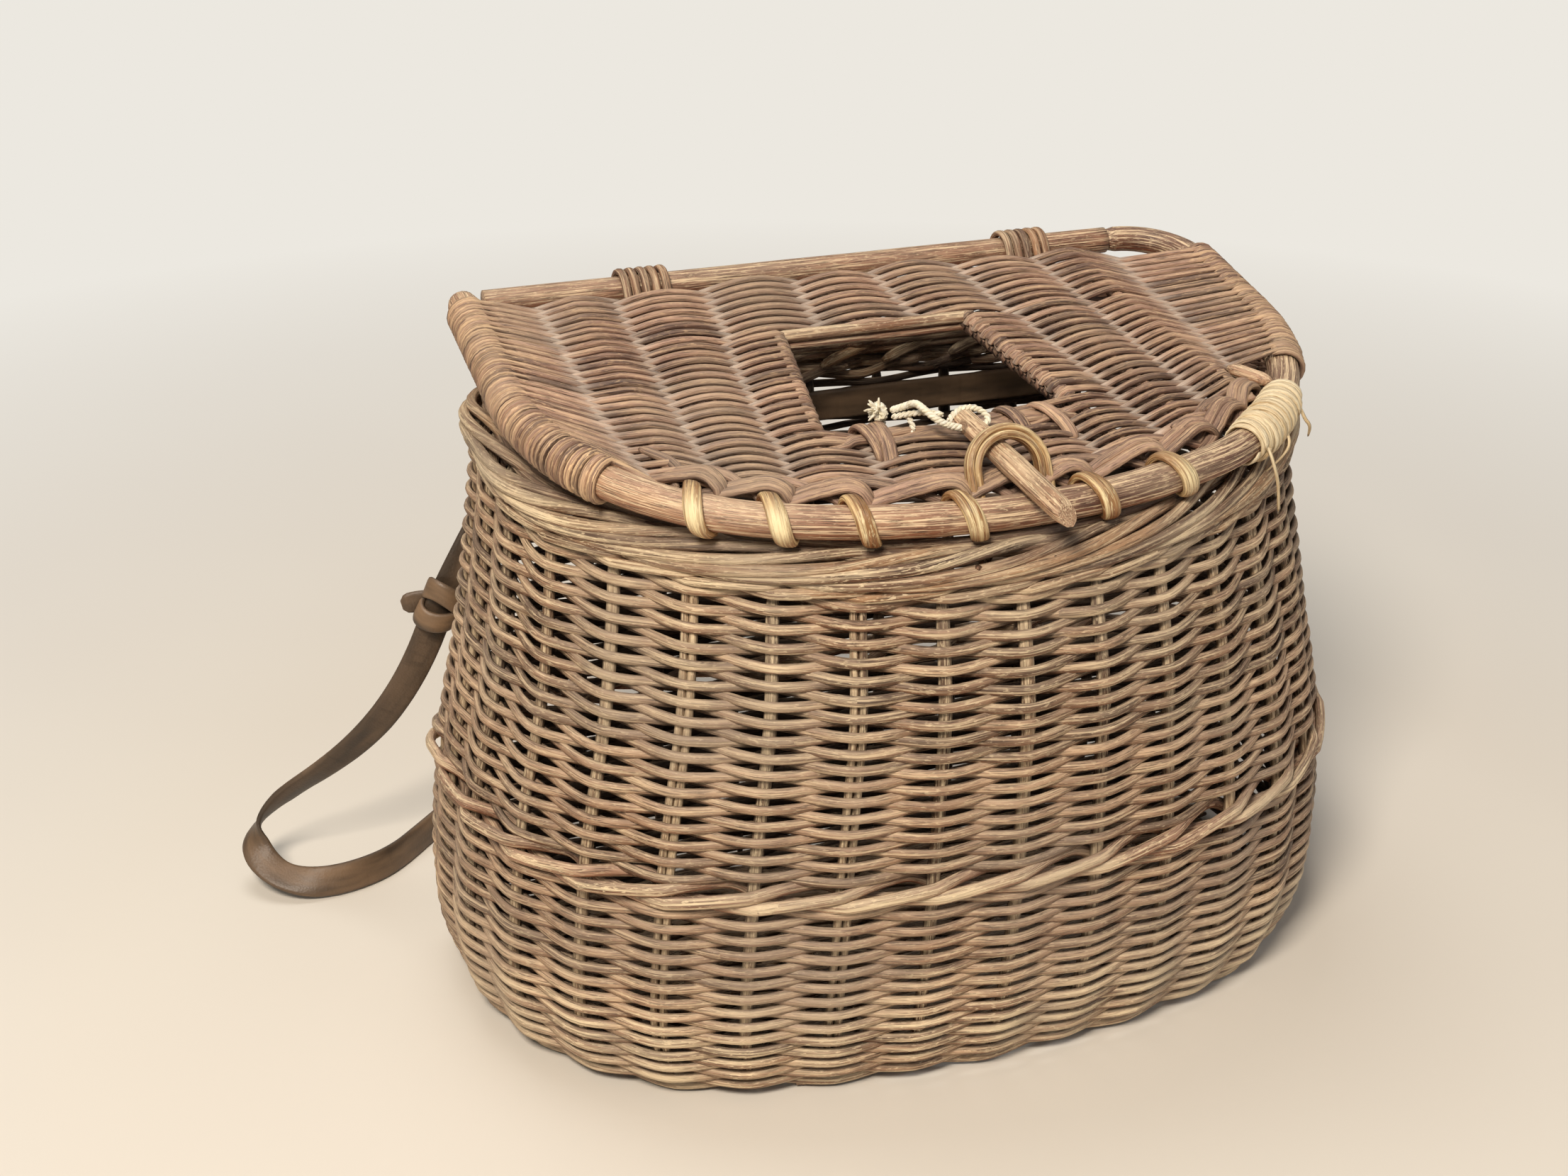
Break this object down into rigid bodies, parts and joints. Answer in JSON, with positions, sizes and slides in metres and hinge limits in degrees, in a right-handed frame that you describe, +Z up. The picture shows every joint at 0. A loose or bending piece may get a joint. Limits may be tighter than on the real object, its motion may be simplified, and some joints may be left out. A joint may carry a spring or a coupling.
{
  "type": "fishing creel",
  "caption": "old wicker fishing creel with a D-shaped woven lid, a fish hole, a cane loop and peg latch and a knotted leather strap",
  "frame": {"origin": "centre of the flat underside that rests on the table", "axes": "X is the width, to the right as seen from the bowed front. Y runs from the bowed front to the flat back that lies against the hip. Z is up, to the lid."},
  "size_m": [0.4165, 0.2683, 0.2577],
  "materials": {
    "weave": "weathered grey-brown round cane, unvarnished",
    "wale": "reddish brown waling rods, worn pale on top",
    "lid_weave": "dusty brown cane",
    "rod": "brown peeled rod with paler streaks, satin",
    "cane": "golden split cane and raffia, slightly glossy",
    "peg": "whittled bare wood",
    "string": "off-white twisted cotton",
    "strap": "dark olive-brown worn strap leather",
    "nails": "dull rusted steel"
  },
  "bodies": {
    "basket": {"base_weave": "weave", "base_sticks": "weave", "side_stakes": "weave", "lower_weave": "weave", "lower_wale": "wale", "upper_weave": "weave", "top_wale": "weave", "top_border": "weave", "border_nails": "nails", "hinge_lashings": "cane", "latch_loop": "cane", "strap_inside": "strap", "strap_loop": "strap", "strap_knot": "strap"},
    "lid": {"lid_rim_rod": "rod", "lid_back_bar": "rod", "lid_ribs": "lid_weave", "lid_weave": "lid_weave", "lid_front_edge": "lid_weave", "left_rim_sleeve": "lid_weave", "right_rim_sleeve": "lid_weave", "rim_wraps": "cane", "hole_wraps": "lid_weave", "toggle_string": "string", "string_knot": "string"},
    "toggle": {"toggle_peg": "peg"}
  },
  "joints": [
    {"name": "lid_hinge", "type": "hinge", "parent": "basket", "child": "lid", "pos_m": [0, 0.0957, 0.2494], "axis": [-1, 0, 0], "range_deg": [0, 110], "deforming": ["latch_loop"]},
    {"name": "peg_slide", "type": "slide", "parent": "lid", "child": "toggle", "axis": [-0.1434, 0.9778, 0.1531], "range_m": [0, 0.042], "deforming": ["toggle_string"]}
  ]
}
